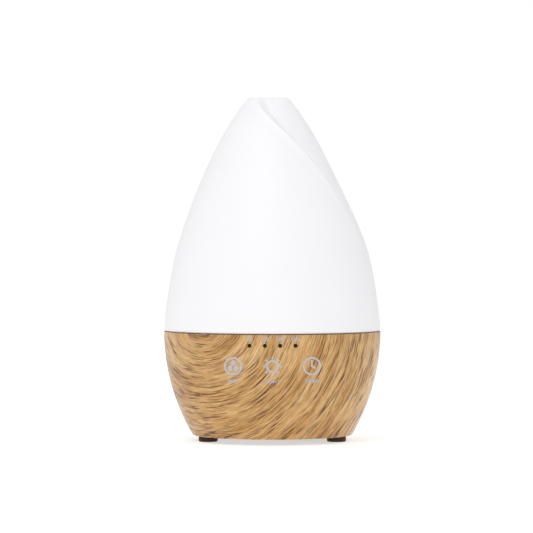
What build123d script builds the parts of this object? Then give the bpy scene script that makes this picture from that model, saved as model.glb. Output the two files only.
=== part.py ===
"""Cool mist humidifier: a teardrop cover with a spiral fold on a round base.

Millimetres, +Z up. The origin is the middle of the four feet, on the surface
that they stand on, and the front is towards -Y.
"""
from build123d import *
import math
import os

os.makedirs("parts", exist_ok=True)

# ---------------------------------------------------------------- driving dimensions
body_diameter = 112.0        # at the seam between base and cover
seam_height = 57.0
overall_height = 177.0
rim_height = 3.0             # base shell's bottom rim above the surface

base_curve_radius = 105.0    # arc of the base's side, upright at the seam
base_wall = 2.5
rim_wall = 1.5
rim_fillet = 1.2
seam_chamfer = 0.5

cover_wall = 2.0
cover_top_radius = 12.5      # proud side of the outlet
cover_seam_pull = 6.0        # how far the side stays upright above the seam
cover_shoulder_drop = 41.5   # shoulder's control point below the top
cover_shoulder_inset = 5.735 # inwards of the radius at the seam
cover_sections = 40          # level bands from seam to outlet
cover_rim_chamfer = 0.6

fold_depth = 5.5
fold_end_height = 88.0       # where the fold runs out into the round side
fold_full_share = 0.66       # share of the fold's height at which it is full depth
fold_end_angle = -5.0        # degrees from +X, the front is -90
fold_wind = -65.0            # even part of the winding
fold_top_wind = -61.0        # extra winding close to the top
fold_top_power = 6
fold_step_angle = 7.0        # width of the rounded step between the two sides
fold_step_points = 6         # across the step
fold_sweep_points = 30       # round the long sweep, closer together beside the step

plate_thickness = 2.0
plate_recess = 1.2           # plate's underside above the bottom rim
plate_clearance = 0.15
seat_width = 1.8
seat_thickness = 2.0

tank_gap = 0.7               # between tank and base shell
tank_wall = 2.0
tank_floor = 31.0
lip_width = 1.35
lip_thickness = 1.4
lip_clearance = 0.15
gasket_thickness = 0.6
collar_height = 8.0          # tank collar above the seam
boss_bore_clearance = 0.05

foot_x = 33.0
foot_y = 9.8
foot_radius = 4.9
foot_fillet = 0.8
peg_radius = 1.5
peg_clearance = 0.1

case_screw_x = 16.5
case_screw_y = 28.5
case_screw_radius = 1.3
case_screw_length = 10.0
case_boss_radius = 3.2
small_screw_radius = 0.9
head_ratio = 2.0
head_height = 1.6
head_chamfer = 0.3
screw_end_gap = 0.5          # between a screw's end and the end of its bore

chimney_x = 28.0
chimney_size = (14.0, 18.0)
chimney_wall = 1.6
chimney_corner = 3.0
chimney_top = 60.0

transducer_hole = 8.0
transducer_radius = 10.0
transducer_thickness = 1.2
seal_radius = 12.0
seal_thickness = 2.8
seal_floor = 0.8
retainer_radius = 17.4
retainer_thickness = 1.5
retainer_hole = 6.0
transducer_screw_circle = 14.6
transducer_angles = (90.0, 210.0, 330.0)
transducer_boss_radius = 2.2

board_thickness = 1.6
light_board_inner = 18.5
light_board_outer = 26.0
light_board_drop = 3.0
light_board_opening = 80.0   # degrees left open for the air chimney
light_led_size = (3.0, 2.8, 1.4)
light_led_circle = 21.0
light_led_angles = (60.0, 95.0, 130.0, 230.0, 265.0, 300.0)
light_screw_circle = 23.5
light_screw_angles = (112.0, 248.0)
light_boss_radius = 2.0

pocket_setback = 15.0        # tank's flat front face, behind the body's widest part
pocket_half_width = 30.0
pocket_top = 53.0
control_boss_height = 2.0
control_board_size = (45.0, 21.0)
control_board_bottom = 31.5
control_board_thickness = 1.2
control_screw_x = 10.5
control_screw_drop = 21.0    # below the seam
control_boss_radius = 2.4

indicator_radius = 1.0
indicator_pitch = 7.7
indicator_drop = 5.9         # below the seam
indicator_count = 4
indicator_clearance = 0.05
indicator_led_size = (2.0, 1.2, 2.0)

key_pitch = 19.8
key_drop = 16.3              # below the seam
spring_radius = 1.8
spring_wire = 0.25
spring_pitch = 1.2
spring_gap = 0.3

fan_x = 14.0
fan_y = 2.0
fan_size = 35.0
fan_height = 10.0
fan_corner = 3.0
fan_bore = 16.2
fan_hole_spacing = 29.0
fan_hub_floor = 1.2
fan_spoke_width = 1.8
fan_spokes = 4
fan_tip_gap = 0.6
fan_spoke_angle = 45.0       # first spoke
fan_blades = 7
blade_chord = 8.0
blade_thickness = 0.8
blade_pitch = 38.0
hub_radius = 8.1
hub_wall = 0.8
hub_top_thickness = 1.2
hub_lift = 1.8
hub_top_gap = 0.5
magnet_wall = 0.8
magnet_gap = 0.6
magnet_lift = 0.4            # magnet's lower end above the hub's
stator_lift = 1.2            # stator above the hub floor
stator_height = 2.0
stator_ring = 0.5
stator_arm_width = 1.2
stator_arms = 4
winding_width = 2.2
winding_wall = 0.5
winding_root_gap = 0.2       # between a winding and the stator's ring
winding_tip_gap = 0.3
shaft_radius = 1.0
shaft_clearance = 0.05
shaft_float = 0.4            # shaft's lower end above the hub floor
bearing_radius = 2.9
bearing_tube_wall = 0.6
bearing_height = 6.0
grille_radius = 15.0
grille_pitch = 4.0
grille_slot = 2.2
grille_steps = 3

main_board_size = (20.0, 38.0)
main_board_x = -25.0
standoff_height = 4.0
standoff_radius = 2.0
standoff_spacing = (13.0, 30.0)
connector_size = (5.0, 4.4, 5.2)
connector_x = -17.7
connector_pitch = 5.4
connector_count = 5

coil_offset = (-4.0, 7.0)    # from the main board's middle, as are the next ones
coil_radius = 3.6
coil_height = 6.0
coil_flange_radius = 4.5
coil_flange = 1.0
sink_offset = (-6.0, -5.0)
sink_size = (3.0, 11.0, 11.0)
fin_pitch = 3.5
fin_gap = 1.4
fin_depth = 1.8
transistor_size = (3.0, 8.0, 9.0)
capacitor_x = 1.4
capacitor_sizes = ((12.5, 2.6, 9.0), (-11.0, 2.2, 7.0))  # y, radius and height

lead_radius = 1.0
lead_bend = 2.2
lead_rise = 4.2              # level runs above the connectors
fan_lead_gap = 4.7           # from the fan's side to the lead's upright run
light_lead_angle = 160.0
light_lead_sink = 1.0
light_lead_climb = 1.4
control_lead_x = -6.0
control_lead_slant = 7.0
power_lead_gap = 5.0         # behind the socket

socket_height = 12.0
socket_opening = 5.5
socket_body = (9.0, 10.0, 9.6)
socket_gap = 0.3             # between the socket and the base shell
socket_nose_radius = 4.2
socket_nose_length = 3.4
socket_bore = 2.85
socket_bore_depth = 10.0
socket_pin_radius = 1.0
socket_pin_recess = 1.0
socket_pin_round = 0.3
cradle_wall = 1.5
cradle_clearance = 0.1
cradle_length = 6.0
cradle_setback = 1.0         # cradle's middle, inwards of the socket's

inner_rim_thickness = 1.5
inner_wall = 1.6
inner_skirt = 3.0
inner_clearance = 0.4
inner_dome_height = 14.0
inner_neck_radius = 13.0
inner_chimney_height = 14.0
inner_foot_tangent = (-0.5, 1.0)
inner_neck_tangent = (-1.0, 0.35)
inner_dome_points = 8

# ---------------------------------------------------------------- worked-out places
body_radius = body_diameter / 2
plate_bottom = rim_height + plate_recess
plate_top = plate_bottom + plate_thickness
tank_bottom = tank_floor - tank_wall
tank_inset = base_wall + tank_gap
lip_bottom = seam_height - lip_thickness
collar_top = seam_height + collar_height
feet = [(foot_x, foot_y), (-foot_x, foot_y), (-foot_x, -foot_y), (foot_x, -foot_y)]
case_screw_places = [(x, y) for x in (-case_screw_x, case_screw_x) for y in (-case_screw_y, case_screw_y)]
retainer_top = tank_bottom - seal_thickness
light_board_top = tank_bottom - light_board_drop
main_board_bottom = plate_top + standoff_height
main_board_top = main_board_bottom + board_thickness
connector_top = main_board_top + connector_size[2]
pocket_front = body_radius - pocket_setback
board_back = pocket_front + control_boss_height
board_front = board_back + control_board_thickness
key_height = seam_height - key_drop
indicator_height = seam_height - indicator_drop
indicator_places = [
    (step - (indicator_count - 1) / 2) * indicator_pitch for step in range(indicator_count)
]
fan_plane = Plane((fan_x, fan_y, plate_top))
fan_screw_places = [
    (fan_x + x, fan_y + y)
    for x in (-fan_hole_spacing / 2, fan_hole_spacing / 2)
    for y in (-fan_hole_spacing / 2, fan_hole_spacing / 2)
]
standoff_places = [
    (main_board_x + x, y)
    for x in (-standoff_spacing[0] / 2, standoff_spacing[0] / 2)
    for y in (-standoff_spacing[1] / 2, standoff_spacing[1] / 2)
]


def base_radius(height, inset=0.0):
    """Radius of the base's curved side at a height, inset from its outer face."""
    rise = seam_height - height
    return body_radius - base_curve_radius + math.sqrt((base_curve_radius - inset) ** 2 - rise**2)


def base_arc(bottom, top, inset):
    """The arc of the base's side between two heights, drawn upwards."""
    middle = (bottom + top) / 2
    return ThreePointArc(*[(base_radius(height, inset), height) for height in (bottom, middle, top)])


def wall_section(bottom, top, outer_inset, inner_inset):
    """An upright section of the base's curved wall between two heights."""
    with BuildSketch(Plane.XZ) as section:
        with BuildLine():
            outer = base_arc(bottom, top, outer_inset)
            inner = base_arc(bottom, top, inner_inset)
            Line(outer @ 1, inner @ 1)
            Line(outer @ 0, inner @ 0)
        make_face()
    return section.sketch


def on_circle(radius, angle):
    """A point on a circle about the vertical axis."""
    return (radius * math.cos(math.radians(angle)), radius * math.sin(math.radians(angle)))


def save(piece, name):
    """Label a finished piece and write it to its own file."""
    piece.part.label = name
    export_step(piece.part, f"parts/{name}.step")


# ---------------------------------------------------------------- base shell and bottom
rim_bore = base_radius(rim_height) - rim_wall
plate_radius = rim_bore - plate_clearance
seat_bore = plate_radius - seat_width
lip_radius = base_radius(seam_height, base_wall) + lip_width - tank_gap
ledge_height = lip_bottom - gasket_thickness
# To the nearest tenth of a millimetre.
socket_front = round(base_radius(socket_height, base_wall) - socket_gap - socket_nose_length, 1)
socket_back = socket_front - socket_body[1]

with BuildPart() as base_shell:
    revolve(wall_section(rim_height, seam_height, 0, base_wall), axis=Axis.Z)
    # Bore for the bottom plate, and the seat that the plate comes up against.
    with BuildSketch(Plane.XY.offset(rim_height)):
        Circle(rim_bore)
    extrude(amount=plate_top - rim_height, mode=Mode.SUBTRACT)
    with BuildSketch(Plane.XY.offset(plate_top)):
        Circle(base_radius(plate_top, base_wall / 2))
        Circle(seat_bore, mode=Mode.SUBTRACT)
    extrude(amount=seat_thickness)
    # Notch in the seat for the power socket.
    with BuildSketch(Plane.XY.offset(plate_top)):
        with Locations((0, socket_front + socket_gap)):
            Rectangle(socket_body[0] + 2 * socket_gap, socket_body[1], align=(Align.CENTER, Align.MAX))
    extrude(amount=seat_thickness, mode=Mode.SUBTRACT)
    # Ledge for the tank's lip and gasket.
    with BuildSketch(Plane.XY.offset(ledge_height)):
        Circle(lip_radius + lip_clearance)
    extrude(amount=seam_height - ledge_height, mode=Mode.SUBTRACT)
    fillet(base_shell.edges().group_by(Axis.Z)[0].sort_by(SortBy.RADIUS)[-1], rim_fillet)
    chamfer(base_shell.edges().group_by(Axis.Z)[-1].sort_by(SortBy.RADIUS)[-1], seam_chamfer)
    # Indicator holes at the front and the socket's opening at the back.
    with BuildSketch(Plane.XZ.offset(board_front)):
        with Locations(*[(x, indicator_height) for x in indicator_places]):
            Circle(indicator_radius + indicator_clearance)
    extrude(amount=body_radius, mode=Mode.SUBTRACT)
    with BuildSketch(Plane.XZ.offset(-socket_front + seat_width)):
        with Locations((0, socket_height)):
            Circle(socket_opening)
    extrude(amount=-body_radius, mode=Mode.SUBTRACT)
save(base_shell, "base_shell")

cradle_inner = socket_body[0] / 2 + cradle_clearance
cradle_middle = socket_back + socket_body[1] / 2 - cradle_setback
cradle_height = socket_height - plate_top
with BuildPart() as bottom_plate:
    with BuildSketch(Plane.XY.offset(plate_bottom)):
        Circle(plate_radius)
        with Locations(*feet):
            Circle(peg_radius + peg_clearance, mode=Mode.SUBTRACT)
        with Locations(*case_screw_places):
            Circle(case_screw_radius + peg_clearance, mode=Mode.SUBTRACT)
        with Locations(*fan_screw_places):
            Circle(case_screw_radius + boss_bore_clearance, mode=Mode.SUBTRACT)
        # Intake grille under the fan.
        for step in range(-grille_steps, grille_steps + 1):
            offset_x = step * grille_pitch
            with Locations((fan_x + offset_x, fan_y)):
                SlotOverall(
                    2 * math.sqrt(grille_radius**2 - offset_x**2), grille_slot, rotation=90, mode=Mode.SUBTRACT
                )
    extrude(amount=plate_thickness)
    with BuildSketch(Plane.XY.offset(plate_top)):
        with Locations(*standoff_places):
            Circle(standoff_radius)
            Circle(small_screw_radius + boss_bore_clearance, mode=Mode.SUBTRACT)
    extrude(amount=standoff_height)
    # Cradle that holds the power socket from both sides.
    with BuildSketch(Plane.XY.offset(plate_top)):
        for side in (-1, 1):
            with Locations((side * (cradle_inner + cradle_wall / 2), cradle_middle)):
                Rectangle(cradle_wall, cradle_length)
    extrude(amount=cradle_height)
save(bottom_plate, "bottom_plate")

for number, (x, y) in enumerate(feet, start=1):
    with BuildPart() as foot:
        with BuildSketch():
            with Locations((x, y)):
                Circle(foot_radius)
        extrude(amount=plate_bottom)
        fillet(foot.edges().group_by(Axis.Z)[0], foot_fillet)
        with BuildSketch(Plane.XY.offset(plate_bottom)):
            with Locations((x, y)):
                Circle(peg_radius)
        extrude(amount=plate_thickness)
    save(foot, f"foot_{number}")


def screws(name, places, head_plane, radius, length):
    """Pan-head screws whose heads stand on a plane, with their shanks going into it."""
    with BuildPart() as group:
        with BuildSketch(head_plane):
            with Locations(*places):
                Circle(radius * head_ratio)
        extrude(amount=head_height)
        tops = group.faces().sort_by(Axis(head_plane.origin, head_plane.z_dir))[-len(places):]
        chamfer(tops.edges(), head_chamfer)
        with BuildSketch(head_plane):
            with Locations(*places):
                Circle(radius)
        extrude(amount=-length)
    save(group, name)


def facing_down(height):
    """A plane that looks down, for screws driven upwards."""
    return Plane((0, 0, height), x_dir=(1, 0, 0), z_dir=(0, 0, -1))


def seen_from_below(places):
    """Places as a plane that looks down counts them."""
    return [(x, -y) for x, y in places]


screws(
    "case_screws",
    seen_from_below(case_screw_places),
    facing_down(plate_bottom),
    case_screw_radius,
    case_screw_length,
)
screws(
    "fan_screws",
    fan_screw_places,
    Plane.XY.offset(plate_top + fan_height),
    case_screw_radius,
    fan_height + plate_thickness - screw_end_gap,
)

# ---------------------------------------------------------------- tank
transducer_screw_places = [on_circle(transducer_screw_circle, angle) for angle in transducer_angles]
light_screw_places = [on_circle(light_screw_circle, angle) for angle in light_screw_angles]
control_screw_places = [
    (x, seam_height - control_screw_drop) for x in (-control_screw_x, control_screw_x)
]
collar_outer = base_radius(seam_height, tank_inset)
collar_inner = collar_outer - tank_wall

with BuildPart() as tank_space:
    with BuildSketch(Plane.XZ):
        with BuildLine():
            side = base_arc(tank_floor, seam_height, tank_inset + tank_wall)
            Polyline(side @ 1, (collar_inner, collar_top), (0, collar_top), (0, tank_floor), side @ 0)
        make_face()
    revolve(axis=Axis.Z)
    # The front of the water space is flat, to leave room for the controls.
    with BuildSketch(Plane.XY.offset(tank_floor)):
        with Locations((0, -pocket_front + tank_wall)):
            Rectangle(2 * (pocket_half_width + tank_wall), body_radius, align=(Align.CENTER, Align.MAX))
    extrude(amount=pocket_top + tank_wall - tank_floor, mode=Mode.SUBTRACT)

with BuildPart() as tank:
    with BuildSketch(Plane.XZ):
        with BuildLine():
            side = base_arc(tank_bottom, lip_bottom, tank_inset)
            Polyline(
                side @ 1,
                (lip_radius, lip_bottom),
                (lip_radius, seam_height),
                (collar_outer, seam_height),
                (collar_outer, collar_top),
                (0, collar_top),
                (0, tank_bottom),
                side @ 0,
            )
        make_face()
    revolve(axis=Axis.Z)
    with BuildSketch(Plane.XY.offset(tank_bottom)):
        with Locations((0, -pocket_front)):
            Rectangle(2 * pocket_half_width, body_radius, align=(Align.CENTER, Align.MAX))
    extrude(amount=pocket_top - tank_bottom, mode=Mode.SUBTRACT)
    add(tank_space.part, mode=Mode.SUBTRACT)
    # Air chimney, standing above the water.
    with BuildSketch(Plane.XY.offset(tank_bottom)):
        with Locations((chimney_x, 0)):
            RectangleRounded(*chimney_size, chimney_corner)
    extrude(amount=chimney_top - tank_bottom)
    with BuildSketch(Plane.XY.offset(tank_bottom)):
        with Locations((chimney_x, 0)):
            RectangleRounded(*[size - 2 * chimney_wall for size in chimney_size], chimney_corner - chimney_wall)
        Circle(transducer_hole)
    extrude(amount=chimney_top - tank_bottom, mode=Mode.SUBTRACT)
    # Bosses under the floor: case, transducer and light board.
    for places, radius, screw, length in (
        (case_screw_places, case_boss_radius, case_screw_radius, tank_bottom - plate_top),
        (transducer_screw_places, transducer_boss_radius, small_screw_radius, seal_thickness),
        (light_screw_places, light_boss_radius, small_screw_radius, light_board_drop),
    ):
        with BuildSketch(Plane.XY.offset(tank_bottom)):
            with Locations(*places):
                Circle(radius)
                Circle(screw + boss_bore_clearance, mode=Mode.SUBTRACT)
        extrude(amount=-length)
    with BuildSketch(Plane.XZ.offset(pocket_front)):
        with Locations(*control_screw_places):
            Circle(control_boss_radius)
            Circle(small_screw_radius + boss_bore_clearance, mode=Mode.SUBTRACT)
    extrude(amount=control_boss_height)
save(tank, "tank")

with BuildPart() as tank_gasket:
    with BuildSketch(Plane.XY.offset(ledge_height)):
        Circle(lip_radius)
        Circle(base_radius(seam_height, base_wall) + lip_clearance, mode=Mode.SUBTRACT)
    extrude(amount=gasket_thickness)
save(tank_gasket, "tank_gasket")

# ---------------------------------------------------------------- mist transducer
disc_bottom = retainer_top + seal_floor
with BuildPart() as transducer_disc:
    with BuildSketch(Plane.XY.offset(disc_bottom)):
        Circle(transducer_radius)
    extrude(amount=transducer_thickness)
save(transducer_disc, "transducer_disc")

with BuildPart() as transducer_seal:
    with BuildSketch(Plane.XY.offset(retainer_top)):
        Circle(seal_radius)
        Circle(transducer_hole, mode=Mode.SUBTRACT)
    extrude(amount=seal_thickness)
    with BuildSketch(Plane.XY.offset(disc_bottom)):
        Circle(transducer_radius)
    extrude(amount=transducer_thickness, mode=Mode.SUBTRACT)
save(transducer_seal, "transducer_seal")

with BuildPart() as transducer_plate:
    with BuildSketch(Plane.XY.offset(retainer_top)):
        Circle(retainer_radius)
        Circle(retainer_hole, mode=Mode.SUBTRACT)
        with Locations(*transducer_screw_places):
            Circle(small_screw_radius + peg_clearance, mode=Mode.SUBTRACT)
    extrude(amount=-retainer_thickness)
save(transducer_plate, "transducer_plate")


screws(
    "transducer_screws",
    seen_from_below(transducer_screw_places),
    facing_down(retainer_top - retainer_thickness),
    small_screw_radius,
    retainer_thickness + seal_thickness - screw_end_gap,
)

# ---------------------------------------------------------------- light board
with BuildPart() as light_board:
    with BuildSketch(Plane.XY.offset(light_board_top)):
        Circle(light_board_outer)
        Circle(light_board_inner, mode=Mode.SUBTRACT)
        half_opening = math.radians(light_board_opening / 2)
        reach = 2 * light_board_outer
        with BuildLine():
            Polyline(
                (0, 0),
                (reach * math.cos(half_opening), reach * math.sin(half_opening)),
                (reach * math.cos(half_opening), -reach * math.sin(half_opening)),
                close=True,
            )
        make_face(mode=Mode.SUBTRACT)
        with Locations(*light_screw_places):
            Circle(small_screw_radius + peg_clearance, mode=Mode.SUBTRACT)
    extrude(amount=-board_thickness)
save(light_board, "light_board")

with BuildPart() as light_leds:
    with BuildSketch(Plane.XY.offset(light_board_top)):
        for angle in light_led_angles:
            with Locations(Location((*on_circle(light_led_circle, angle), 0), (0, 0, angle))):
                Rectangle(*light_led_size[:2])
    extrude(amount=light_led_size[2])
save(light_leds, "light_leds")

screws(
    "light_board_screws",
    seen_from_below(light_screw_places),
    facing_down(light_board_top - board_thickness),
    small_screw_radius,
    board_thickness + light_board_drop - screw_end_gap,
)

# ---------------------------------------------------------------- controls
with BuildPart() as control_board:
    with BuildSketch(Plane.XZ.offset(board_back)):
        with Locations((0, control_board_bottom)):
            Rectangle(*control_board_size, align=(Align.CENTER, Align.MIN))
        with Locations(*control_screw_places):
            Circle(small_screw_radius + peg_clearance, mode=Mode.SUBTRACT)
    extrude(amount=control_board_thickness)
save(control_board, "control_board")

screws(
    "control_board_screws",
    control_screw_places,
    Plane.XZ.offset(board_front),
    small_screw_radius,
    control_board_thickness + control_boss_height - screw_end_gap,
)

for number, x in enumerate(indicator_places, start=1):
    with BuildPart() as indicator_led:
        with BuildSketch(Plane.XZ.offset(board_front)):
            with Locations((x, indicator_height)):
                Rectangle(indicator_led_size[0], indicator_led_size[2])
        extrude(amount=indicator_led_size[1])
    save(indicator_led, f"indicator_led_{number}")

    # The lens is a light pipe, cut to the base's curved face.
    with BuildPart() as indicator_lens:
        with BuildSketch(Plane.XZ.offset(board_front + indicator_led_size[1])):
            with Locations((x, indicator_height)):
                Circle(indicator_radius)
        extrude(amount=body_radius)
        revolve(wall_section(key_height, seam_height, 0, pocket_setback), axis=Axis.Z, mode=Mode.INTERSECT)
    save(indicator_lens, f"indicator_lens_{number}")

for number, x in enumerate((-key_pitch, 0.0, key_pitch), start=1):
    widest = abs(x) + spring_radius + spring_wire
    wall_y = math.sqrt(base_radius(key_height - spring_radius, base_wall) ** 2 - widest**2)
    spring_length = wall_y - spring_gap - board_front - 2 * spring_wire
    spring_foot = (x, -board_front - spring_wire, key_height)
    with BuildPart() as touch_spring:
        with BuildLine() as coil:
            Helix(spring_pitch, spring_length, spring_radius, center=spring_foot, direction=(0, -1, 0))
        with BuildSketch(Plane(coil.line @ 0, z_dir=coil.line % 0)):
            Circle(spring_wire)
        sweep(path=coil.line, is_frenet=True)
    save(touch_spring, f"touch_spring_{number}")

# ---------------------------------------------------------------- main board
with BuildPart() as main_board:
    with BuildSketch(Plane.XY.offset(main_board_bottom)):
        with Locations((main_board_x, 0)):
            Rectangle(*main_board_size)
        with Locations(*standoff_places):
            Circle(small_screw_radius + peg_clearance, mode=Mode.SUBTRACT)
    extrude(amount=board_thickness)
save(main_board, "main_board")

screws(
    "main_board_screws",
    standoff_places,
    Plane.XY.offset(main_board_top),
    small_screw_radius,
    board_thickness + standoff_height - screw_end_gap,
)

with BuildPart() as driver_coil:
    with BuildSketch(Plane.XY.offset(main_board_top)):
        with Locations((main_board_x + coil_offset[0], coil_offset[1])):
            Circle(coil_flange_radius)
    extrude(amount=coil_height + 2 * coil_flange)
    # The winding lies between two flanges.
    with BuildSketch(Plane.XY.offset(main_board_top + coil_flange)):
        with Locations((main_board_x + coil_offset[0], coil_offset[1])):
            Circle(coil_flange_radius)
            Circle(coil_radius, mode=Mode.SUBTRACT)
    extrude(amount=coil_height, mode=Mode.SUBTRACT)
save(driver_coil, "driver_coil")

sink_x = main_board_x + sink_offset[0]
sink_y = sink_offset[1]
with BuildPart() as heat_sink:
    with BuildSketch(Plane.XY.offset(main_board_top)):
        with Locations((sink_x, sink_y)):
            Rectangle(*sink_size[:2])
        for step in (-1, 0, 1):
            with Locations((sink_x - sink_size[0] / 2 + fin_depth / 2, sink_y + step * fin_pitch)):
                Rectangle(fin_depth, fin_gap, mode=Mode.SUBTRACT)
    extrude(amount=sink_size[2])
save(heat_sink, "heat_sink")

with BuildPart() as transistor:
    with BuildSketch(Plane.XY.offset(main_board_top)):
        with Locations((sink_x + sink_size[0] / 2, sink_y)):
            Rectangle(*transistor_size[:2], align=(Align.MIN, Align.CENTER))
    extrude(amount=transistor_size[2])
save(transistor, "transistor")

with BuildPart() as capacitors:
    for y, radius, height in capacitor_sizes:
        with BuildSketch(Plane.XY.offset(main_board_top)):
            with Locations((main_board_x + capacitor_x, y)):
                Circle(radius)
        extrude(amount=height)
save(capacitors, "capacitors")

connector_places = [
    (connector_x, (step - (connector_count - 1) / 2) * connector_pitch) for step in range(connector_count)
]
with BuildPart() as board_connectors:
    with BuildSketch(Plane.XY.offset(main_board_top)):
        with Locations(*connector_places):
            Rectangle(*connector_size[:2])
    extrude(amount=connector_size[2])
save(board_connectors, "board_connectors")

# ---------------------------------------------------------------- fan
frame_tube = bearing_radius + bearing_tube_wall
blade_tip = fan_bore - fan_tip_gap
magnet_outer = hub_radius - hub_wall
magnet_inner = magnet_outer - magnet_wall
stator_radius = magnet_inner - magnet_gap
hub_top = fan_height - hub_top_gap
hub_ceiling = hub_top - hub_top_thickness

with BuildPart() as fan_frame:
    with BuildSketch(fan_plane):
        RectangleRounded(fan_size, fan_size, fan_corner)
        Circle(fan_bore, mode=Mode.SUBTRACT)
        with GridLocations(fan_hole_spacing, fan_hole_spacing, 2, 2):
            Circle(case_screw_radius + peg_clearance, mode=Mode.SUBTRACT)
    extrude(amount=fan_height)
    with BuildSketch(fan_plane):
        Circle(hub_radius)
        with PolarLocations(0, fan_spokes, start_angle=fan_spoke_angle):
            Rectangle(fan_bore + fan_spoke_width / 2, fan_spoke_width, align=(Align.MIN, Align.CENTER))
    extrude(amount=fan_hub_floor)
    with BuildSketch(fan_plane.offset(fan_hub_floor)):
        Circle(frame_tube)
        Circle(bearing_radius, mode=Mode.SUBTRACT)
    extrude(amount=bearing_height)
save(fan_frame, "fan_frame")

with BuildPart() as fan_bearing:
    with BuildSketch(fan_plane.offset(fan_hub_floor)):
        Circle(bearing_radius)
        Circle(shaft_radius + shaft_clearance, mode=Mode.SUBTRACT)
    extrude(amount=bearing_height)
save(fan_bearing, "fan_bearing")

stator_bottom = fan_hub_floor + stator_lift
with BuildPart() as fan_stator:
    with BuildSketch(fan_plane.offset(stator_bottom)):
        Circle(frame_tube + stator_ring)
        with PolarLocations(0, stator_arms):
            Rectangle(stator_radius, stator_arm_width, align=(Align.MIN, Align.CENTER))
        Circle(frame_tube, mode=Mode.SUBTRACT)
    extrude(amount=stator_height)
save(fan_stator, "fan_stator")

winding_start = frame_tube + stator_ring + winding_root_gap
winding_length = stator_radius - winding_tip_gap - winding_start
with BuildPart() as fan_coils:
    with BuildSketch(fan_plane.offset(stator_bottom - winding_wall)):
        with PolarLocations(winding_start, stator_arms):
            Rectangle(winding_length, winding_width, align=(Align.MIN, Align.CENTER))
    extrude(amount=stator_height + 2 * winding_wall)
    with BuildSketch(fan_plane.offset(stator_bottom)):
        with PolarLocations(0, stator_arms):
            Rectangle(stator_radius, stator_arm_width, align=(Align.MIN, Align.CENTER))
    extrude(amount=stator_height, mode=Mode.SUBTRACT)
save(fan_coils, "fan_coils")

with BuildPart() as fan_magnet:
    with BuildSketch(fan_plane.offset(hub_lift + magnet_lift)):
        Circle(magnet_outer)
        Circle(magnet_inner, mode=Mode.SUBTRACT)
    extrude(amount=hub_ceiling - hub_lift - magnet_lift)
save(fan_magnet, "fan_magnet")

with BuildPart() as blade:
    with BuildSketch(Plane.YZ.offset(hub_radius - hub_wall / 2)):
        with Locations((0, (hub_lift + hub_top) / 2)):
            Rectangle(blade_chord, blade_thickness, rotation=blade_pitch)
    extrude(amount=fan_bore)
    with BuildSketch():
        Circle(blade_tip)
    extrude(amount=fan_height, mode=Mode.INTERSECT)

with BuildPart(fan_plane) as fan_rotor:
    with PolarLocations(0, fan_blades):
        add(blade.part)
    with BuildSketch(fan_plane.offset(hub_lift)):
        Circle(hub_radius)
    extrude(amount=hub_top - hub_lift)
    with BuildSketch(fan_plane.offset(hub_lift)):
        Circle(magnet_outer)
    extrude(amount=hub_ceiling - hub_lift, mode=Mode.SUBTRACT)
    with BuildSketch(fan_plane.offset(hub_lift)):
        Circle(shaft_radius)
    extrude(amount=hub_top - hub_lift, mode=Mode.SUBTRACT)
save(fan_rotor, "fan_rotor")

with BuildPart() as fan_shaft:
    with BuildSketch(fan_plane.offset(fan_hub_floor + shaft_float)):
        Circle(shaft_radius)
    extrude(amount=hub_top - fan_hub_floor - shaft_float)
save(fan_shaft, "fan_shaft")

# ---------------------------------------------------------------- power socket
socket_nose_end = socket_front + socket_nose_length
with BuildPart() as dc_socket:
    with BuildSketch(Plane.XZ.offset(-socket_back)):
        with Locations((0, socket_height)):
            Rectangle(socket_body[0], socket_body[2])
    extrude(amount=-socket_body[1])
    with BuildSketch(Plane.XZ.offset(-socket_front)):
        with Locations((0, socket_height)):
            Circle(socket_nose_radius)
    extrude(amount=-socket_nose_length)
    with BuildSketch(Plane.XZ.offset(-socket_nose_end)):
        with Locations((0, socket_height)):
            Circle(socket_bore)
    extrude(amount=socket_bore_depth, mode=Mode.SUBTRACT)
save(dc_socket, "dc_socket")

with BuildPart() as socket_pin:
    with BuildSketch(Plane.XZ.offset(-(socket_nose_end - socket_bore_depth))):
        with Locations((0, socket_height)):
            Circle(socket_pin_radius)
    extrude(amount=-(socket_bore_depth - socket_pin_recess))
    fillet(socket_pin.edges().group_by(Axis.Y)[-1], socket_pin_round)
save(socket_pin, "socket_pin")


# ---------------------------------------------------------------- leads
def lead(name, *points):
    """A round lead along straight runs joined by arcs."""
    with BuildPart() as wire:
        with BuildLine() as route:
            FilletPolyline(*points, radius=lead_bend)
        with BuildSketch(Plane(route.line @ 0, z_dir=route.line % 0)):
            Circle(lead_radius)
        sweep(path=route.line)
    save(wire, name)


control_y, fan_lead_y, transducer_y, light_y, power_y = [place[1] for place in connector_places]
lead_run_height = connector_top + lead_rise
fan_side = fan_x - fan_size / 2
fan_lead_x = fan_side - fan_lead_gap
fan_middle = plate_top + fan_height / 2
lead(
    "fan_lead",
    (connector_x, fan_lead_y, connector_top),
    (connector_x, fan_lead_y, lead_run_height),
    (fan_lead_x, fan_lead_y, lead_run_height),
    (fan_lead_x, fan_lead_y, fan_middle),
    (fan_side, fan_lead_y, fan_middle),
)
lead(
    "transducer_lead",
    (connector_x, transducer_y, connector_top),
    (connector_x, transducer_y, lead_run_height),
    (0, transducer_y, lead_run_height),
    (0, transducer_y, disc_bottom),
)
light_lead_place = on_circle(light_led_circle, light_lead_angle)
light_run_height = lead_run_height - light_lead_sink
lead(
    "light_lead",
    (connector_x, light_y, connector_top),
    (connector_x, light_y, light_run_height),
    (*light_lead_place, light_run_height + light_lead_climb),
    (*light_lead_place, light_board_top - board_thickness),
)
board_middle = -(board_back + board_front) / 2
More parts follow.
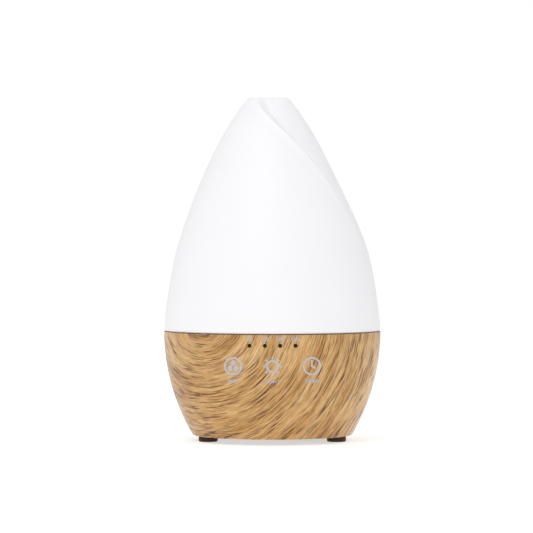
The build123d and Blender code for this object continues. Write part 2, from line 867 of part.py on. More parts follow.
lead(
    "control_lead",
    (connector_x, control_y, connector_top),
    (connector_x, control_y, lead_run_height),
    (control_lead_x, control_y - control_lead_slant, lead_run_height),
    (control_lead_x, board_middle, lead_run_height),
    (control_lead_x, board_middle, control_board_bottom),
)
lead(
    "power_lead",
    (connector_x, power_y, connector_top),
    (connector_x, power_y, lead_run_height),
    (0, socket_back - power_lead_gap, lead_run_height),
    (0, socket_back - power_lead_gap, socket_height),
    (0, socket_back, socket_height),
)

# ---------------------------------------------------------------- inner cover
inner_flange = collar_outer - inner_clearance
skirt_outer = collar_inner - inner_clearance
skirt_inner = skirt_outer - inner_wall
rim_top = collar_top + inner_rim_thickness
dome_top = rim_top + inner_dome_height
chimney_end = dome_top + inner_chimney_height
with BuildPart() as inner_cover:
    with BuildSketch(Plane.XZ):
        with BuildLine():
            dome_outside = Spline(
                (skirt_inner, rim_top),
                (inner_neck_radius, dome_top),
                tangents=(inner_foot_tangent, inner_neck_tangent),
            )
            # The dome's inside is a wall's thickness square to its outside.
            beneath = []
            for step in range(inner_dome_points + 1):
                share = step / inner_dome_points
                place, along = dome_outside @ share, dome_outside % share
                beneath.append((place.X - inner_wall * along.Y, place.Y + inner_wall * along.X))
            dome_inside = Spline(*beneath)
            Polyline(
                dome_outside @ 1,
                (inner_neck_radius, chimney_end),
                (inner_neck_radius - inner_wall, chimney_end),
                (inner_neck_radius - inner_wall, beneath[-1][1]),
                dome_inside @ 1,
            )
            Polyline(
                dome_outside @ 0,
                (inner_flange, rim_top),
                (inner_flange, collar_top),
                (skirt_outer, collar_top),
                (skirt_outer, collar_top - inner_skirt),
                (skirt_inner, collar_top - inner_skirt),
                (skirt_inner, collar_top),
                dome_inside @ 0,
            )
        make_face()
    revolve(axis=Axis.Z)
save(inner_cover, "inner_cover")

# ---------------------------------------------------------------- cover
cover_curve_points = [
    Vector(body_radius, seam_height),
    Vector(body_radius, seam_height + cover_seam_pull),
    Vector(body_radius - cover_shoulder_inset, overall_height - cover_shoulder_drop),
    Vector(cover_top_radius, overall_height),
]


def cover_point(share, inset):
    """Radius and height on the cover's side, inset square to its face."""
    a, b, c, d = cover_curve_points
    rest = 1 - share
    point = a * rest**3 + b * 3 * rest**2 * share + c * 3 * rest * share**2 + d * share**3
    along = (b - a) * rest**2 + (c - b) * 2 * rest * share + (d - c) * share**2
    along = along.normalized()
    return point.X - inset * along.Y, point.Y + inset * along.X


def fold_share(height):
    """0 where the fold runs out, 1 at the top."""
    return min(max((height - fold_end_height) / (overall_height - fold_end_height), 0), 1)


def fold_at(height):
    """Depth of the fold and the angle of its step."""
    share = fold_share(height)
    ease = min(share / fold_full_share, 1)
    depth = fold_depth * (3 * ease**2 - 2 * ease**3)
    return depth, fold_end_angle + fold_wind * share + fold_top_wind * share**fold_top_power


def sunk_share(turn):
    """How far the face is sunk at an angle past the step, as a share of the fold's depth."""
    half_step = fold_step_angle / 2
    if half_step <= turn <= 360 - half_step:
        return math.cos(math.radians(turn / 4)) ** 2
    across = ((turn + 180) % 360 - 180) / fold_step_angle + 0.5
    proud, sunk = sunk_share(360 - half_step), sunk_share(half_step)
    return proud + (sunk - proud) * (3 * across**2 - 2 * across**3)


def outline_turns():
    """Angles past the step of an outline's points, the same at every level."""
    half_step = fold_step_angle / 2
    across = [half_step * (2 * step / fold_step_points - 1) for step in range(fold_step_points)]
    around = []
    for step in range(fold_sweep_points):
        share = step / fold_sweep_points
        eased = 3 * share**2 - 2 * share**3
        around.append(half_step + (360 - fold_step_angle) * (share + eased) / 2)
    return across + around


def outline_parameters(turns):
    """Lengths along a middling outline, so that every level's curve keeps step with the others."""
    middle_radius = body_radius / 2
    marks = [0.0]
    for before, after in zip(turns, turns[1:] + [turns[0] + 360]):
        along = middle_radius * math.radians(after - before)
        sink = fold_depth * (sunk_share(after % 360) - sunk_share(before % 360))
        marks.append(marks[-1] + math.hypot(along, sink))
    return marks


def cover_outline(share, inset):
    """One level outline: a long sweep round the cover, closed by a rounded step."""
    radius, height = cover_point(share, inset)
    depth, step_angle = fold_at(cover_point(share, 0)[1])
    if share == 1:
        height = overall_height  # both faces end level, at the outlet
    if inset == 0:
        # The outer face's two ends are chamfered.
        radius -= {0: seam_chamfer, 1: cover_rim_chamfer}.get(share, 0)
    # The inner face's step is a wall's thickness behind the outer one.
    step_angle -= math.degrees(inset / radius)
    turns = outline_turns()
    points = [
        Vector(*on_circle(radius - depth * sunk_share(turn % 360), step_angle + turn), height) for turn in turns
    ]
    return Edge.make_spline(points, periodic=True, parameters=outline_parameters(turns))


def cover_face(inset):
    """Level outlines of the cover's outer or inner face, and the ruled band between each and the next."""
    rim_share = 1 - cover_rim_chamfer / (3 * cover_shoulder_drop)
    shares = [band / cover_sections for band in range(cover_sections)] + [rim_share, 1]
    outlines = [cover_outline(share, inset) for share in shares]
    return outlines, [Face.make_surface_from_curves(*pair) for pair in zip(outlines, outlines[1:])]


# The cover is closed from the bands of both faces and the rings between their ends.
outer_outlines, outer_bands = cover_face(0)
inner_outlines, inner_bands = cover_face(cover_wall)
end_rings = [Face(Wire(outer_outlines[end]), [Wire(inner_outlines[end])]) for end in (0, -1)]
with BuildPart() as cover:
    add(Solid(Shell(outer_bands + inner_bands + end_rings)))
save(cover, "cover")
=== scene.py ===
"""Looks of the cool mist humidifier: its finishes, printed marks, light and camera."""

import math

import bpy
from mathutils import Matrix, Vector


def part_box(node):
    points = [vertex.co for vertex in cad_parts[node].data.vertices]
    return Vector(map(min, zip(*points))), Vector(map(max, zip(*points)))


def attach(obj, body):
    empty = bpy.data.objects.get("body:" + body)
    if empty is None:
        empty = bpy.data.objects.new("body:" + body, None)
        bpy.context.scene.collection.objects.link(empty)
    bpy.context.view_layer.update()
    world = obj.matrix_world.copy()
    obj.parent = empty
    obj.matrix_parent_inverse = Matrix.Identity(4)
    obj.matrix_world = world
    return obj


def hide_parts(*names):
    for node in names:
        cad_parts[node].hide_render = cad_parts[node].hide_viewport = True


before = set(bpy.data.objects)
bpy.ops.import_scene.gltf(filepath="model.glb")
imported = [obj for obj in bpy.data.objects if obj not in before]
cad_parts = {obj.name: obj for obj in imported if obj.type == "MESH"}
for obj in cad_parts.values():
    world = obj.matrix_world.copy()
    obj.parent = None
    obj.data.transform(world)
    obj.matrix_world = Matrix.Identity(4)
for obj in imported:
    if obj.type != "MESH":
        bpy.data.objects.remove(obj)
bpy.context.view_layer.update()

MM = 0.001

# Places worked out from the parts themselves.
base_low, base_high = (Vector(corner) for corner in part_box("base_shell"))
seam_height = base_high.z
body_radius = (base_high.x - base_low.x) / 2
indicator_boxes = [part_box(f"indicator_lens_{number}") for number in range(1, 5)]
indicator_x = [(low[0] + high[0]) / 2 for low, high in indicator_boxes]
indicator_height = (indicator_boxes[0][0][2] + indicator_boxes[0][1][2]) / 2
key_boxes = [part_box(f"touch_spring_{number}") for number in range(1, 4)]
key_x = [(low[0] + high[0]) / 2 for low, high in key_boxes]
key_height = (key_boxes[0][0][2] + key_boxes[0][1][2]) / 2

# Printed marks.
PRINT_THICKNESS = 0.06 * MM
PRINT_STANDOFF = 0.05 * MM
LABEL_RISE = 3.2 * MM          # time labels above the indicator lights
LABEL_SIZE = 2.9 * MM
WORD_DROP = 7.7 * MM           # words below the key symbols
WORD_SIZE = 2.55 * MM
LETTER_WEIGHT = 0.02           # letters thickened, as a share of their size
SYMBOL_RADIUS = 4.6 * MM
SYMBOL_LINE = 0.85 * MM
DROP_RADIUS = 1.15 * MM
DROP_TIP = 1.9                 # a drop's tip above its middle, in radii
DROP_RISE = 1.3 * MM
DROP_SPREAD = 1.45 * MM
SUN_RADIUS = 3.2 * MM
RAY_START = 3.6 * MM
RAY_END = 4.8 * MM
MINUTE_HAND = 3.1 * MM
HOUR_HAND = 2.3 * MM

# Camera and light.
CAMERA_DISTANCE = 1.67
CAMERA_HEIGHT = 0.114
CAMERA_SIDE = -0.003
CAMERA_AIM_HEIGHT = 0.090
CAMERA_LENS = 218.0
SENSOR_WIDTH = 36.0
CAMERA_REACH = 50.0
FLOOR_SIZE = 14.0
FLOOR_GREY = 0.6
FLOOR_GLOW = 0.58
FLOOR_ROUGHNESS = 0.9
PANEL_SIZE = 0.7
FRONT_PANEL_PLACE, FRONT_PANEL_AIM, FRONT_PANEL_POWER = (-0.1, -1.2, 0.4), (0, 0, 0.09), 0.6
TOP_PANEL_PLACE, TOP_PANEL_AIM, TOP_PANEL_POWER = (-0.3, -0.8, 1.05), (0, 0, 0.1), 3.2
SURROUND_LOW = 0.64             # light from the horizon, with a backdrop of 1
SURROUND_HIGH = 0.90            # and from straight above


# ---------------------------------------------------------------- shader arithmetic
class Signal:
    """A changing value in a material. Arithmetic on it adds the material's Math nodes."""

    def __init__(self, finish, socket):
        self.finish = finish
        self.socket = socket

    def math(self, operation, *terms, clamp=False):
        settings = {"operation": operation, "use_clamp": clamp}
        return self.finish.node("ShaderNodeMath", settings, dict(enumerate(terms)))

    def __add__(self, other):
        return self.math("ADD", self, other)

    def __sub__(self, other):
        return self.math("SUBTRACT", self, other)

    def __rsub__(self, other):
        return self.math("SUBTRACT", other, self)

    def __mul__(self, other):
        return self.math("MULTIPLY", self, other)

    def __truediv__(self, other):
        return self.math("DIVIDE", self, other)

    __radd__ = __add__
    __rmul__ = __mul__

    def held(self):
        """The same value kept between 0 and 1."""
        return self.math("ADD", self, 0.0, clamp=True)


class Finish:
    """A material being made. One method adds any node, sets it and links its sockets."""

    def __init__(self, name, **settings):
        self.material = bpy.data.materials.new(name)
        self.material.use_nodes = True
        self.tree = self.material.node_tree
        self.shader = self.tree.nodes["Principled BSDF"]
        for word, value in settings.items():
            self.shader.inputs[self.socket_name(word)].default_value = value
        self.position = self.node("ShaderNodeTexCoord", output="Object")

    @staticmethod
    def socket_name(word):
        return word.replace("_", " ").title().replace("Ior", "IOR")

    def node(self, kind, settings=None, sockets=None, output=0):
        made = self.tree.nodes.new(kind)
        for word, value in (settings or {}).items():
            if word == "stops":
                self.set_stops(made.color_ramp, value)
            else:
                setattr(made, word, value)
        for key, value in (sockets or {}).items():
            if isinstance(value, Signal):
                self.tree.links.new(value.socket, made.inputs[key])
            else:
                made.inputs[key].default_value = value
        return Signal(self, made.outputs[output])

    @staticmethod
    def set_stops(ramp, stops):
        while len(ramp.elements) < len(stops):
            ramp.elements.new(1.0)
        for element, (place, colour) in zip(ramp.elements, stops):
            element.position = place
            element.color = (*colour, 1.0)

    def feed(self, **signals):
        """Link changing values to the shader, such as base_color or roughness."""
        for word, signal in signals.items():
            self.tree.links.new(signal.socket, self.shader.inputs[self.socket_name(word)])
        return self.material

    def scaled(self, x, y, z):
        """Position stretched along each axis."""
        stretch = {0: self.position, 1: (x, y, z)}
        return self.node("ShaderNodeVectorMath", {"operation": "MULTIPLY"}, stretch)

    def noise(self, vector, scale, detail=3.0):
        """Even noise. Its scale is in cells to the metre."""
        return self.node(
            "ShaderNodeTexNoise",
            {"noise_dimensions": "3D"},
            {"Vector": vector, "Scale": scale, "Detail": detail},
        )

    def ramp(self, signal, *stops):
        return self.node("ShaderNodeValToRGB", {"stops": stops}, {"Fac": signal})

    def blend(self, factor, first, second, way="MIX"):
        """Mix two colours: inputs 6 and 7 of a Mix node, and its output 2."""
        settings = {"data_type": "RGBA", "blend_type": way}
        first, second = (
            colour if isinstance(colour, Signal) else (*colour, 1.0) for colour in (first, second)
        )
        return self.node("ShaderNodeMix", settings, {0: factor, 6: first, 7: second}, output=2)

    def bump(self, height, depth, strength=1.0):
        sockets = {"Strength": strength, "Distance": depth, "Height": height}
        return self.node("ShaderNodeBump", None, sockets)


def shade_of(colour, factor):
    """A colour made lighter or darker."""
    return tuple(min(channel * factor, 1.0) for channel in colour)


# ---------------------------------------------------------------- finishes
PLASTIC_GRAIN = 2600.0
PLASTIC_CLOUD = 45.0
PLASTIC_GLOSS_RANGE = 0.12
METAL_STREAK = (300.0, 300.0, 4200.0)
METAL_CLOUD = 120.0
METAL_GLOSS_RANGE = 0.2
GRAIN_DEPTH = 0.02 * MM         # of plastic grain and of tool marks
RUBBER_BLOOM = 260.0
RUBBER_PORES = 3200.0
PORE_DEPTH = 0.03 * MM
TRACK_SCALE = 420.0
TRACK_DEPTH = 0.03 * MM
MASK_GREEN = (0.01, 0.14, 0.04)
TRACK_GREEN = (0.05, 0.30, 0.10)
TURN_SCALE = 900.0
TURN_DEPTH = 0.1 * MM
COPPER_DARK = (0.24, 0.07, 0.02)
COPPER_BRIGHT = (0.80, 0.33, 0.12)


def moulded_plastic(name, colour, roughness, grain=PLASTIC_GRAIN, **settings):
    """Moulded plastic with a fine spark-eroded grain and slightly uneven gloss."""
    finish = Finish(name, **settings)
    grain_height = finish.noise(finish.position, grain)
    cloud = finish.noise(finish.position, PLASTIC_CLOUD)
    return finish.feed(
        base_color=finish.blend(cloud, shade_of(colour, 0.97), shade_of(colour, 1.03)),
        roughness=cloud * PLASTIC_GLOSS_RANGE + (roughness - PLASTIC_GLOSS_RANGE / 2),
        normal=finish.bump(grain_height, GRAIN_DEPTH, 0.35),
    )


def worked_metal(name, colour, roughness):
    """Metal with fine tool marks."""
    finish = Finish(name, metallic=1.0)
    marks = finish.noise(finish.scaled(*METAL_STREAK), 1.0, 2.0)
    cloud = finish.noise(finish.position, METAL_CLOUD)
    return finish.feed(
        base_color=finish.blend(cloud, shade_of(colour, 0.9), shade_of(colour, 1.08)),
        roughness=marks * METAL_GLOSS_RANGE + (roughness - METAL_GLOSS_RANGE / 2),
        normal=finish.bump(marks, GRAIN_DEPTH, 0.4),
    )


def moulded_rubber(name, colour):
    """Dull rubber with a slight bloom."""
    finish = Finish(name)
    bloom = finish.noise(finish.position, RUBBER_BLOOM, 4.0)
    pores = finish.noise(finish.position, RUBBER_PORES)
    return finish.feed(
        base_color=finish.blend(bloom, shade_of(colour, 0.8), shade_of(colour, 1.25)),
        roughness=bloom * 0.2 + 0.62,
        normal=finish.bump(pores, PORE_DEPTH, 0.5),
    )


def board_laminate(name, flat):
    """Green circuit board: copper tracks under the solder mask, in the board's own plane."""
    finish = Finish(name, roughness=0.35, coat_weight=0.4)
    spread = {"level": (1.0, 1.0, 0.0), "upright": (1.0, 0.0, 1.0)}[flat]
    tracks = finish.node(
        "ShaderNodeTexVoronoi",
        {"feature": "DISTANCE_TO_EDGE", "distance": "MANHATTAN"},
        {"Vector": finish.scaled(*spread), "Scale": TRACK_SCALE},
    )
    copper = finish.ramp(tracks, (0.05, (1, 1, 1)), (0.12, (0, 0, 0)))
    return finish.feed(
        base_color=finish.blend(copper, MASK_GREEN, TRACK_GREEN),
        normal=finish.bump(copper, TRACK_DEPTH, 0.5),
    )


def wound_copper(name, axis):
    """Enamelled wire laid turn beside turn."""
    finish = Finish(name, metallic=1.0)
    turns = finish.node(
        "ShaderNodeTexWave",
        {"wave_type": "BANDS", "bands_direction": axis},
        {"Vector": finish.position, "Scale": TURN_SCALE, "Distortion": 0.4},
    )
    return finish.feed(
        base_color=finish.blend(turns, COPPER_DARK, COPPER_BRIGHT),
        roughness=turns * -0.15 + 0.42,
        normal=finish.bump(turns, TURN_DEPTH),
    )


WOOD_PALE = (0.74, 0.49, 0.225)
WOOD_LIGHT = (0.62, 0.36, 0.125)
WOOD_TAN = (0.45, 0.22, 0.050)
WOOD_DARK = (0.11, 0.032, 0.002)
# Colour, width and blur of the painted shade along the seam groove.
SEAM_SHADE_BROWN = (0.10, 0.035, 0.008)
SEAM_SHADE_WIDTH = 0.55 * MM
SEAM_SHADE_BLUR = 0.05 * MM
HEART = (-35.0 * MM, -44.0 * MM, 66.0 * MM)   # where the arcs of the grain are centred
GRAIN_SQUASH = (1.02, 0.42, 0.98)             # the arcs' shape along each axis
BEND_SCALE, BEND = 14.0, 8 * MM               # the arcs' slow wandering, and how far it goes
RIPPLE_SCALE, RIPPLE = 70.0, 0.9 * MM
WOOD_PORE_DEPTH = 0.05 * MM


def wood_print(name):
    """Printed wood: arcs of grain about one point, with short dark pores along them."""
    finish = Finish(name, coat_weight=0.35, coat_roughness=0.22, specular_ior_level=0.3)
    from_heart = finish.node(
        "ShaderNodeVectorMath", {"operation": "SUBTRACT"}, {0: finish.position, 1: HEART}
    )
    squashed = finish.node(
        "ShaderNodeVectorMath", {"operation": "MULTIPLY"}, {0: from_heart, 1: GRAIN_SQUASH}
    )
    distance = finish.node(
        "ShaderNodeVectorMath", {"operation": "LENGTH"}, {0: squashed}, output="Value"
    )
    bend = finish.noise(finish.position, BEND_SCALE, 2.0) * BEND
    ripple = finish.noise(finish.position, RIPPLE_SCALE, 1.0) * RIPPLE
    ring = distance + (bend + ripple)

    def along_grain(spread, pitch, detail=2.0):
        """Noise that is long along the arcs and fine across them."""
        return finish.node(
            "ShaderNodeTexNoise",
            {"noise_dimensions": "4D"},
            {
                "Vector": finish.position,
                "W": ring / (pitch * spread),
                "Scale": spread,
                "Detail": detail,
            },
        )

    broad = along_grain(spread=26.0, pitch=5.5 * MM)
    bands = along_grain(spread=40.0, pitch=1.5 * MM, detail=3.0)
    pores = along_grain(spread=105.0, pitch=0.46 * MM, detail=1.0)
    fine = along_grain(spread=200.0, pitch=0.30 * MM, detail=1.0)
    tone = (broad * 0.55 + bands * 0.45).held()
    colour = finish.ramp(tone, (0.36, WOOD_TAN), (0.50, WOOD_LIGHT), (0.64, WOOD_PALE))
    pore_depth = finish.ramp(pores, (0.53, (0, 0, 0)), (0.59, (1, 1, 1)))
    patches = finish.ramp(bands, (0.42, (1, 1, 1)), (0.60, (0.35, 0.35, 0.35)))
    streak = (pore_depth * patches * 0.95).held()
    colour = finish.blend(streak, colour, WOOD_DARK)
    fibres = finish.ramp(fine, (0.42, (0.5, 0.38, 0.24)), (0.54, (1, 1, 1)))
    colour = finish.blend(0.5, colour, fibres, "MULTIPLY")
    # Painted shade: a dark line on the chamfer at the seam, standing in for the shadow in the groove
    # between base and cover.
    height = finish.node("ShaderNodeSeparateXYZ", None, {0: finish.position}, output="Z")
    painted_seam_shade = ((height - (seam_height - SEAM_SHADE_WIDTH)) / SEAM_SHADE_BLUR).held()
    return finish.feed(
        base_color=finish.blend(painted_seam_shade, colour, SEAM_SHADE_BROWN),
        roughness=streak * 0.15 + 0.42,
        normal=finish.bump(1 - streak, WOOD_PORE_DEPTH, 0.35),
    )


COVER_SHADED = (0.900, 0.898, 0.928)
COVER_BRIGHT = (0.920, 0.918, 0.945)
COVER_CLOUD = 30.0
COVER_GRAIN = 3000.0
COVER_GRAIN_DEPTH = 0.01 * MM
COVER_GLOW_DEPTH = (4 * MM, 4 * MM, 4.4 * MM)


def frosted_cover(name):
    """Satin white moulding, thick enough to glow a little from inside its wall."""
    finish = Finish(
        name,
        subsurface_weight=0.3,
        subsurface_radius=COVER_GLOW_DEPTH,
        subsurface_scale=1.0,
        specular_ior_level=0.4,
    )
    cloud = finish.noise(finish.position, COVER_CLOUD)
    grain = finish.noise(finish.position, COVER_GRAIN)
    return finish.feed(
        base_color=finish.blend(cloud, COVER_SHADED, COVER_BRIGHT),
        roughness=cloud * 0.08 + 0.40,
        normal=finish.bump(grain, COVER_GRAIN_DEPTH, 0.2),
    )


finishes = {
    "cover": frosted_cover("cover_white"),
    "wood": wood_print("wood_print"),
    "foot": moulded_rubber("foot_rubber", (0.045, 0.016, 0.003)),
    "plate": moulded_plastic("plate_brown", (0.20, 0.11, 0.045), 0.5),
    "tank": moulded_plastic("tank_milky", (0.80, 0.82, 0.84), 0.35, subsurface_weight=0.25),
    "lens": moulded_plastic("lens_green", (0.0, 0.022, 0.001), 0.35, specular_ior_level=0.15),
    "seal": moulded_rubber("seal_grey", (0.60, 0.60, 0.60)),
    "level_board": board_laminate("board_level", "level"),
    "upright_board": board_laminate("board_upright", "upright"),
    "black": moulded_plastic("black_moulding", (0.018, 0.018, 0.02), 0.45),
    "connector": moulded_plastic("connector_ivory", (0.78, 0.74, 0.62), 0.4),
    "led": moulded_plastic("led_resin", (0.85, 0.80, 0.45), 0.2, coat_weight=0.5),
    "lead": moulded_plastic("lead_jacket", (0.03, 0.03, 0.035), 0.4, 900.0),
    "brass": worked_metal("brass", (0.80, 0.56, 0.22), 0.32),
    "steel": worked_metal("screw_steel", (0.62, 0.62, 0.64), 0.34),
    "aluminium": worked_metal("aluminium", (0.72, 0.73, 0.75), 0.38),
    "magnet": worked_metal("magnet_ferrite", (0.10, 0.10, 0.11), 0.6),
    "coil": wound_copper("fan_windings", "X"),
    "drum": wound_copper("drum_winding", "Z"),
    "print": moulded_plastic("print_grey", (0.47, 0.47, 0.53), 0.5),
}

node_finishes = {
    "base_shell": "wood",
    "bottom_plate": "plate",
    "tank": "tank",
    "inner_cover": "tank",
    "tank_gasket": "seal",
    "transducer_seal": "seal",
    "transducer_disc": "brass",
    "transducer_plate": "steel",
    "main_board": "level_board",
    "light_board": "level_board",
    "control_board": "upright_board",
    "driver_coil": "drum",
    "fan_coils": "coil",
    "fan_stator": "steel",
    "fan_shaft": "steel",
    "fan_bearing": "brass",
    "fan_magnet": "magnet",
    "socket_pin": "brass",
    "heat_sink": "aluminium",
    "board_connectors": "connector",
    "light_leds": "led",
}
family_finishes = (
    ("foot_", "foot"),
    ("indicator_lens_", "lens"),
    ("indicator_led_", "led"),
    ("touch_spring_", "steel"),
)


def finish_of(name):
    """The finish that a part is made in."""
    if name in node_finishes:
        return finishes[node_finishes[name]]
    for start, finish in family_finishes:
        if name.startswith(start):
            return finishes[finish]
    if name.endswith("screws"):
        return finishes["steel"]
    if name.endswith("_lead"):
        return finishes["lead"]
    return finishes["black"]


def dress(piece, material):
    """Give a piece one material all over."""
    piece.data.materials.clear()
    piece.data.materials.append(material)


for name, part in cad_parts.items():
    dress(part, finish_of(name))


# ---------------------------------------------------------------- making pieces
def only(piece):
    """Select one piece and make it active."""
    bpy.ops.object.select_all(action="DESELECT")
    piece.select_set(True)
    bpy.context.view_layer.objects.active = piece


def settle(piece):
    """Put a piece's place, turn and size into its mesh."""
    only(piece)
    bpy.ops.object.transform_apply(location=True, rotation=True, scale=True)


def apply_all(piece):
    """Apply a piece's modifiers, in their order."""
    only(piece)
    for modifier in list(piece.modifiers):
        bpy.ops.object.modifier_apply(modifier=modifier.name)


# ---------------------------------------------------------------- cover
MERGE_DISTANCE = 0.004 * MM
SMOOTH_ANGLE = math.radians(40)


def make_cover():
    """The cover's shape as one smooth skin, from the part's own mesh."""
    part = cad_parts["cover"]
    skin = part.copy()
    skin.data = part.data.copy()
    skin.name = skin.data.name = "cover_moulding"
    bpy.context.scene.collection.objects.link(skin)
    skin.parent = None
    only(skin)
    bpy.ops.object.mode_set(mode="EDIT")
    bpy.ops.mesh.select_all(action="SELECT")
    bpy.ops.mesh.remove_doubles(threshold=MERGE_DISTANCE)
    bpy.ops.object.mode_set(mode="OBJECT")
    if skin.data.has_custom_normals:
        bpy.ops.mesh.customdata_custom_splitnormals_clear()
    bpy.ops.object.shade_smooth_by_angle(angle=SMOOTH_ANGLE)
    dress(skin, finishes["cover"])
    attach(skin, "cover")
    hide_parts("cover")


make_cover()


# ---------------------------------------------------------------- printed marks
FRONT = -(body_radius + 8 * MM)   # marks are made in front of the base, then laid on it
UPRIGHT = (math.pi / 2, 0, 0)
RING_SIDES = 64
LETTER_CURVE_STEPS = 4
SUN_RAYS = 8
HOUR_HAND_TURN = math.radians(120)


def add_ring(x, z, radius):
    """A flat ring a line's width wide, facing forwards."""
    bpy.ops.object.select_all(action="DESELECT")
    bpy.ops.mesh.primitive_circle_add(
        vertices=RING_SIDES, radius=radius, fill_type="NGON", location=(x, FRONT, z), rotation=UPRIGHT
    )
    bpy.ops.object.mode_set(mode="EDIT")
    bpy.ops.mesh.select_all(action="SELECT")
    bpy.ops.mesh.inset(thickness=SYMBOL_LINE)
    bpy.ops.mesh.delete(type="FACE")
    bpy.ops.object.mode_set(mode="OBJECT")
    return bpy.context.object


def add_bar(x, z, start, end, turn):
    """A straight bar on a line from a point, between two distances, at a turn from straight up."""
    middle = (start + end) / 2
    place = (x + math.sin(turn) * middle, FRONT, z + math.cos(turn) * middle)
    bpy.ops.object.select_all(action="DESELECT")
    bpy.ops.mesh.primitive_plane_add(size=1.0, location=place, rotation=(math.pi / 2, turn, 0))
    bar = bpy.context.object
    bar.scale = (SYMBOL_LINE, end - start, 1)
    settle(bar)
    return bar


def add_drop(x, z, radius):
    """A filled drop: a round outline with its top drawn up to a point."""
    bpy.ops.object.select_all(action="DESELECT")
    bpy.ops.curve.primitive_bezier_circle_add(radius=radius, location=(x, FRONT, z), rotation=UPRIGHT)
    outline = bpy.context.object.data
    outline.dimensions = "2D"
    outline.fill_mode = "BOTH"
    tip = max(outline.splines[0].bezier_points, key=lambda point: point.co.y)
    tip.handle_left_type = tip.handle_right_type = "VECTOR"
    tip.co.y = DROP_TIP * radius
    bpy.ops.object.convert(target="MESH")
    return bpy.context.object


def press_on(name, *pieces):
    """Join flat pieces into one mark and lay it on the base's curved face as a thin layer of print."""
    bpy.ops.object.select_all(action="DESELECT")
    for piece in pieces:
        piece.select_set(True)
    mark = bpy.context.view_layer.objects.active = pieces[0]
    if len(pieces) > 1:
        bpy.ops.object.join()
    mark.name = mark.data.name = name
    settle(mark)
    wrap = mark.modifiers.new("lay", "SHRINKWRAP")
    wrap.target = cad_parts["base_shell"]
    wrap.wrap_method = "PROJECT"
    wrap.use_project_y = True
    wrap.offset = PRINT_STANDOFF
    layer = mark.modifiers.new("layer", "SOLIDIFY")
    layer.thickness = PRINT_THICKNESS
    layer.offset = -1.0
    apply_all(mark)
    dress(mark, finishes["print"])
    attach(mark, "base")


def print_text(name, text, x, z, size):
    """A word or number on the base's face."""
    bpy.ops.object.select_all(action="DESELECT")
    bpy.ops.object.text_add(location=(x, FRONT, z), rotation=UPRIGHT)
    label = bpy.context.object.data
    label.body = text
    label.size = size
    label.align_x = label.align_y = "CENTER"
    label.resolution_u = LETTER_CURVE_STEPS
    label.offset = LETTER_WEIGHT * size
    bpy.ops.object.convert(target="MESH")
    press_on(name, bpy.context.object)


for text, x in zip(("60", "120", "180", "ON"), indicator_x):
    print_text(f"label_{text.lower()}", text, x, indicator_height + LABEL_RISE, LABEL_SIZE)
for text, x in zip(("MIST", "LIGHT", "TIMER"), key_x):
    print_text(f"word_{text.lower()}", text, x, key_height - WORD_DROP, WORD_SIZE)

mist_x, light_x, timer_x = key_x
press_on(
    "symbol_mist",
    add_ring(mist_x, key_height, SYMBOL_RADIUS),
    add_drop(mist_x, key_height + DROP_RISE, DROP_RADIUS),
    add_drop(mist_x - DROP_SPREAD, key_height - DROP_RISE, DROP_RADIUS),
    add_drop(mist_x + DROP_SPREAD, key_height - DROP_RISE, DROP_RADIUS),
)
press_on(
    "symbol_light",
    add_ring(light_x, key_height, SUN_RADIUS),
    *[
        add_bar(light_x, key_height, RAY_START, RAY_END, math.tau * ray / SUN_RAYS)
        for ray in range(SUN_RAYS)
    ],
)
press_on(
    "symbol_timer",
    add_ring(timer_x, key_height, SYMBOL_RADIUS),
    add_bar(timer_x, key_height, -SYMBOL_LINE / 2, MINUTE_HAND, 0),
    add_bar(timer_x, key_height, -SYMBOL_LINE / 2, HOUR_HAND, HOUR_HAND_TURN),
)


# ---------------------------------------------------------------- floor, light and camera
def make_floor():
    """A plain pale floor, wide enough to have no edge in view."""
    bpy.ops.object.select_all(action="DESELECT")
    bpy.ops.mesh.primitive_plane_add(size=FLOOR_SIZE, location=(0, 0, 0))
    floor = bpy.context.object
    floor.name = "floor"
    finish = Finish(
        "floor_white",
        base_color=(FLOOR_GREY, FLOOR_GREY, FLOOR_GREY, 1),
        roughness=FLOOR_ROUGHNESS,
        emission_color=(1, 1, 1, 1),
        emission_strength=FLOOR_GLOW,
    )
    dress(floor, finish.material)


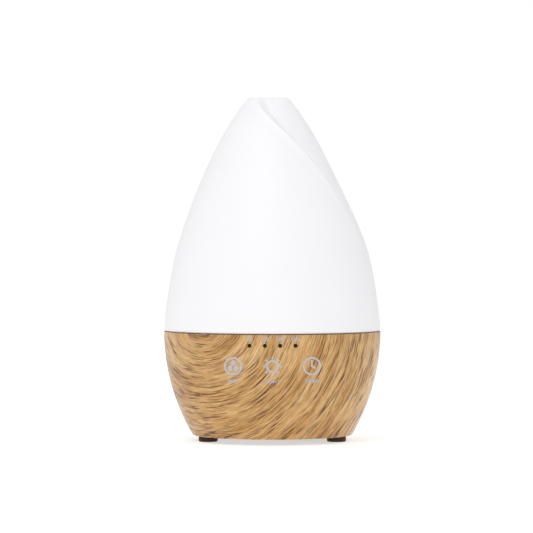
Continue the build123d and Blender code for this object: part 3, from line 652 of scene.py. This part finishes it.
def add_panel(name, place, target, power):
    """A soft square light that faces a point."""
    light = bpy.data.lights.new(name, "AREA")
    light.size = PANEL_SIZE
    light.energy = power
    lamp = bpy.data.objects.new(name, light)
    lamp.location = place
    lamp.rotation_euler = (Vector(target) - Vector(place)).to_track_quat("-Z", "Y").to_euler()
    bpy.context.scene.collection.objects.link(lamp)


def make_surroundings():
    """A white studio. The backdrop is pure white, and its light is softer and mostly from above."""
    world = bpy.data.worlds.new("studio_white")
    world.use_nodes = True
    bpy.context.scene.world = world
    tree = world.node_tree
    direction = tree.nodes.new("ShaderNodeTexCoord")
    upward = tree.nodes.new("ShaderNodeSeparateXYZ")
    given = tree.nodes.new("ShaderNodeMapRange")
    given.inputs["To Min"].default_value = SURROUND_LOW
    given.inputs["To Max"].default_value = SURROUND_HIGH
    seen = tree.nodes.new("ShaderNodeLightPath")
    level = tree.nodes.new("ShaderNodeMix")
    level.inputs["B"].default_value = 1.0
    backdrop = tree.nodes["Background"]
    backdrop.inputs["Color"].default_value = (1, 1, 1, 1)
    tree.links.new(direction.outputs["Generated"], upward.inputs["Vector"])
    tree.links.new(upward.outputs["Z"], given.inputs["Value"])
    tree.links.new(seen.outputs["Is Camera Ray"], level.inputs["Factor"])
    tree.links.new(given.outputs["Result"], level.inputs["A"])
    tree.links.new(level.outputs["Result"], backdrop.inputs["Strength"])


def make_camera():
    """A long lens in front of the object, aimed at about its middle height."""
    camera = bpy.data.cameras.new("camera")
    camera.lens = CAMERA_LENS
    camera.sensor_width = SENSOR_WIDTH
    camera.clip_end = CAMERA_REACH
    holder = bpy.data.objects.new("camera", camera)
    holder.location = (CAMERA_SIDE, -CAMERA_DISTANCE, CAMERA_HEIGHT)
    aim = Vector((CAMERA_SIDE, 0, CAMERA_AIM_HEIGHT))
    holder.rotation_euler = (aim - holder.location).to_track_quat("-Z", "Y").to_euler()
    bpy.context.scene.collection.objects.link(holder)
    bpy.context.scene.camera = holder


make_floor()
make_surroundings()
add_panel("front_panel", FRONT_PANEL_PLACE, FRONT_PANEL_AIM, FRONT_PANEL_POWER)
add_panel("top_panel", TOP_PANEL_PLACE, TOP_PANEL_AIM, TOP_PANEL_POWER)
make_camera()
bpy.context.scene.view_settings.view_transform = "Standard"
